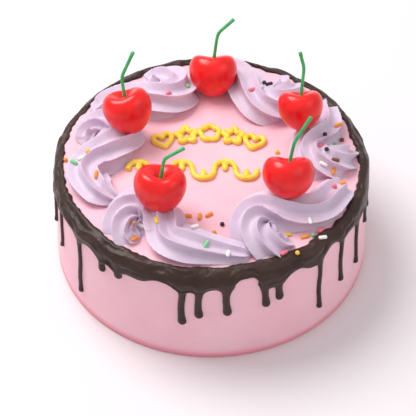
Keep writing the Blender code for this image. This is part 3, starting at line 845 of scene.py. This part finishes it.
def make_cherry(number, row, material):
    """A ball drawn to the outline of a cherry: a dimple, two shoulders and uneven sides."""
    x, y, z, width, lean_back, lean_left = row
    bpy.ops.mesh.primitive_uv_sphere_add(segments=72, ring_count=56, radius=1)
    cherry = named(f"cherry_fruit_{number}")
    for vertex in cherry.data.vertices:
        down = math.acos(max(-1, min(1, vertex.co.z))) / math.pi
        reach, height = smooth_path(CHERRY_OUTLINE, down)
        around = math.atan2(vertex.co.y, vertex.co.x)
        lobe = 1 + CHERRY_LOBES * math.cos(3 * around + number)
        reach = max(reach, 0) * lobe
        across = reach * math.cos(around)
        on_shoulder = min(max(height / NOTCH_REACH, 0), 1)
        height -= CHERRY_NOTCH * math.exp(-((across / NOTCH_WIDTH) ** 2)) * on_shoulder
        height *= 1 if height > 0 else CHERRY_DROPS[number - 1]
        vertex.co = Vector((across, reach * math.sin(around) * CHERRY_DEPTH, height)) * width * MM
    cherry.matrix_world = cherry_matrix(x, y, z, lean_back, lean_left)
    settle(cherry)
    tidy_faces(cherry)
    return finished(cherry, material, "cherry_red", f"cherry_{number}")


def make_stem(number, cherry, stem, material):
    """A bent stalk, a little thicker where it leaves the fruit and at its cut end."""
    x, y, z, width, lean_back, lean_left = cherry
    rise_low, side_low, rise_high, side_high = stem
    fruit = cherry_matrix(x, y, z, lean_back, lean_left)
    foot = fruit @ Vector((0, 0, (STEM_FOOT - STEM_SUNK) * width * MM))
    top_of_foot = foot + (foot - fruit.translation).normalized() * STEM_SUNK * width * MM
    bend = top_of_foot + Vector((side_low, STEM_LEAN_BACK * rise_low, rise_low)) * MM
    tip = bend + Vector((side_high, STEM_LEAN_BACK * rise_high, rise_high)) * MM
    bpy.ops.curve.primitive_nurbs_path_add()
    stalk = named(f"stalk_{number}")
    curve = stalk.data
    curve.bevel_depth = STEM_RADIUS
    curve.bevel_resolution = 4
    curve.use_fill_caps = True
    curve.splines.clear()
    spline = curve.splines.new("POLY")
    rows = [(*foot, 1.15), (*foot.lerp(bend, 0.4), 0.95), (*foot.lerp(bend, 0.85), 0.95)]
    rows += [(*bend.lerp(tip, 0.12), 1.0), (*bend.lerp(tip, 0.6), 1.0), (*tip, 1.12)]
    spline.points.add(STEM_POINTS - 1)
    for i in range(STEM_POINTS):
        px, py, pz, thick = smooth_path(rows, i / (STEM_POINTS - 1))
        spline.points[i].co = (px, py, pz, 1)
        spline.points[i].radius = thick
    choose(stalk)
    bpy.ops.object.convert(target="MESH")
    settle(stalk)
    tidy_faces(stalk)
    return finished(stalk, material, "stem_green", f"cherry_stem_{number}")


# Piped line work


def heart_point(t):
    """A point on the heart: down its right half, and back up its left half mirrored."""
    share = t / math.pi
    x, y = smooth_path((*HEART_HALF, HEART_TIP), share if share <= 1 else 2 - share)
    return (x, y) if share <= 1 else (-x, y)


def star_point(t):
    reach = 0.86 + 0.26 * math.cos(5 * (t - math.pi / 2))
    return reach * math.cos(t), reach * math.sin(t)


def flower_point(t):
    reach = 0.86 + 0.2 * abs(math.cos(2.5 * (t - math.pi / 2)))
    return reach * math.cos(t), reach * math.sin(t)


def piped(name, points, cyclic):
    """A hand-piped bead of icing along points (x, y) on the top of the cake."""
    bpy.ops.curve.primitive_nurbs_path_add()
    bead = named(name)
    curve = bead.data
    curve.dimensions = "3D"
    curve.bevel_depth = PIPE_RADIUS
    curve.bevel_resolution = 5
    curve.use_fill_caps = True
    curve.splines.clear()
    spline = curve.splines.new("POLY")
    spline.points.add(len(points) - 1)
    spline.use_cyclic_u = cyclic
    for i, (x, y) in enumerate(points):
        pulse = noise.noise(Vector((x, y, 0)) * 420)
        spline.points[i].co = (x, y, CAKE_HEIGHT + PIPE_RADIUS * (PIPE_LIFT + 0.1 * pulse), 1)
        spline.points[i].radius = 1 + 0.12 * pulse
    choose(bead)
    bpy.ops.object.convert(target="MESH")
    return bead


def round_off(bead):
    merged(bead, PIPE_VOXEL)
    smooth(bead, 0.5, 6)
    apply_all(bead)
    bpy.ops.object.shade_smooth()


def make_motifs(material):
    shapes = {"heart": heart_point, "star": star_point, "flower": flower_point}
    for name, x, y, degrees in MOTIFS:
        shape = shapes[name.split("_")[0]]
        turn = Matrix.Rotation(math.radians(degrees), 2)
        points = []
        for i in range(MOTIF_POINTS):
            point = turn @ Vector(shape(math.tau * i / MOTIF_POINTS)) * MOTIF_SIZE
            points.append((x * MM + point.x, y * MM + point.y))
        bead = piped(f"icing_{name}", points, True)
        round_off(bead)
        finished(bead, material, "yellow_icing", f"piped_{name}")


def vine_point(share):
    turn = math.tau * VINE_WAVES * share
    x = VINE_CENTRE[0] + VINE_LENGTH * (share - 0.5) - VINE_CURL * math.sin(2 * turn)
    y = VINE_CENTRE[1] + VINE_SWING * math.sin(turn)
    return x, y


def make_vine(material):
    """A wavy stalk with a leaf inside each of its bends."""
    points = [vine_point(i / VINE_STEPS) for i in range(VINE_STEPS + 1)]
    vine = piped("icing_vine", points, False)
    leaves = []
    for i in range(2 * VINE_WAVES):
        side = 1 if i % 2 == 0 else -1
        x, y = vine_point((i + 0.5) / (2 * VINE_WAVES))
        bpy.ops.mesh.primitive_uv_sphere_add(segments=24, ring_count=16, radius=0.5)
        leaf = named(f"leaf_{i}")
        size = Matrix.Diagonal((LEAF_LENGTH, LEAF_WIDTH, 2 * PIPE_RADIUS, 1))
        turn = Matrix.Rotation(math.radians(90), 4, "Z")
        leaf_y = y - side * LEAF_OFFSET
        place = Matrix.Translation((x, leaf_y, CAKE_HEIGHT + PIPE_LIFT * PIPE_RADIUS))
        leaf.matrix_world = place @ turn @ size
        settle(leaf)
        leaves.append(leaf)
    choose(vine, *leaves)
    bpy.ops.object.join()
    round_off(vine)
    finished(vine, material, "yellow_icing", "piped_vine")


# Sprinkles


def surface_of(objs):
    """One search tree of the surfaces that sprinkles may lie on."""
    bm = bmesh.new()
    for obj in objs:
        bm.from_mesh(obj.data)
    tree = BVHTree.FromBMesh(bm)
    bm.free()
    return tree


def make_sprinkle(tree, x, y, degrees):
    """A rod with round ends, or a ball, that lies on what is under it and sinks in a little."""
    hit, normal, _, _ = tree.ray_cast(Vector((x * MM, y * MM, 0.2)), Vector((0, 0, -1)))
    radius = BALL_RADIUS if degrees is None else ROD_RADIUS
    bpy.ops.mesh.primitive_uv_sphere_add(segments=16, ring_count=12, radius=radius)
    grain = bpy.context.object
    half = 0 if degrees is None else ROD_LENGTH / 2 - radius
    for vertex in grain.data.vertices:
        x_was, y_was, z_was = vertex.co
        shift = half if z_was > 1e-6 else -half if z_was < -1e-6 else 0
        vertex.co = (z_was + shift, y_was, x_was)
    lie = Vector((0, 0, 1)).rotation_difference(normal).to_matrix().to_4x4()
    turn = Matrix.Rotation(math.radians(degrees or 0), 4, "Z")
    lift = Matrix.Translation(hit + normal * radius * SPRINKLE_LIFT)
    grain.matrix_world = lift @ lie @ turn
    settle(grain)
    return grain


def make_sprinkles(tree):
    for name, places in SPRINKLES.items():
        grains = [make_sprinkle(tree, *place) for place in places]
        choose(*grains)
        bpy.ops.object.join()
        sprinkles = named(f"sprinkles_{name}")
        tidy_faces(sprinkles)
        finished(sprinkles, make_sugar(name), None)


# Floor, light and camera


def make_floor():
    bpy.ops.mesh.primitive_plane_add(size=FLOOR_SIZE, location=(0, 0, 0))
    floor = named("floor")
    made = bpy.data.materials.new("pale floor")
    made.use_nodes = True
    shader = made.node_tree.nodes["Principled BSDF"]
    shader.inputs["Base Color"].default_value = srgb(236, 231, 234)
    shader.inputs["Roughness"].default_value = 0.7
    floor.data.materials.append(made)


def add_area(name, place, size, power, colour):
    bpy.ops.object.light_add(type="AREA", location=place)
    lamp = bpy.context.object
    lamp.name = name
    lamp.data.shape = "DISK"
    lamp.data.size = size
    lamp.data.energy = power
    lamp.data.color = colour
    aim = Vector(LIGHT_AIM) - Vector(place)
    lamp.rotation_euler = aim.to_track_quat("-Z", "Y").to_euler()


def make_light():
    world = bpy.data.worlds.new("soft studio")
    world.use_nodes = True
    sky = world.node_tree.nodes["Background"]
    sky.inputs["Color"].default_value = (1.0, 0.985, 0.99, 1)
    sky.inputs["Strength"].default_value = WORLD_STRENGTH
    bpy.context.scene.world = world
    bpy.context.scene.view_settings.view_transform = "Standard"
    for row in LIGHTS:
        add_area(*row)


def make_camera():
    bpy.ops.object.camera_add(location=CAMERA_PLACE)
    camera = bpy.context.object
    camera.name = "camera"
    aim = Vector(CAMERA_AIM) - camera.location
    camera.rotation_euler = aim.to_track_quat("-Z", "Y").to_euler()
    camera.data.lens = CAMERA_LENS
    camera.data.sensor_width = SENSOR_WIDTH
    bpy.context.scene.camera = camera


def main():
    make_camera()
    body = make_cake_body(make_icing())
    chocolate = make_chocolate(make_chocolate_finish())
    cream = make_cream()
    star = make_star_outline()
    swirls = [make_swirl(number, star, row, cream) for number, row in enumerate(SWIRLS, 1)]
    bpy.data.objects.remove(star, do_unlink=True)
    skin = make_cherry_finish()
    green = make_stem_finish()
    for number, (cherry, stem) in enumerate(zip(CHERRIES, STEMS), 1):
        make_cherry(number, cherry, skin)
        make_stem(number, cherry, stem, green)
    yellow = make_yellow()
    make_motifs(yellow)
    make_vine(yellow)
    make_sprinkles(surface_of([body, chocolate, *swirls]))
    make_floor()
    make_light()


main()
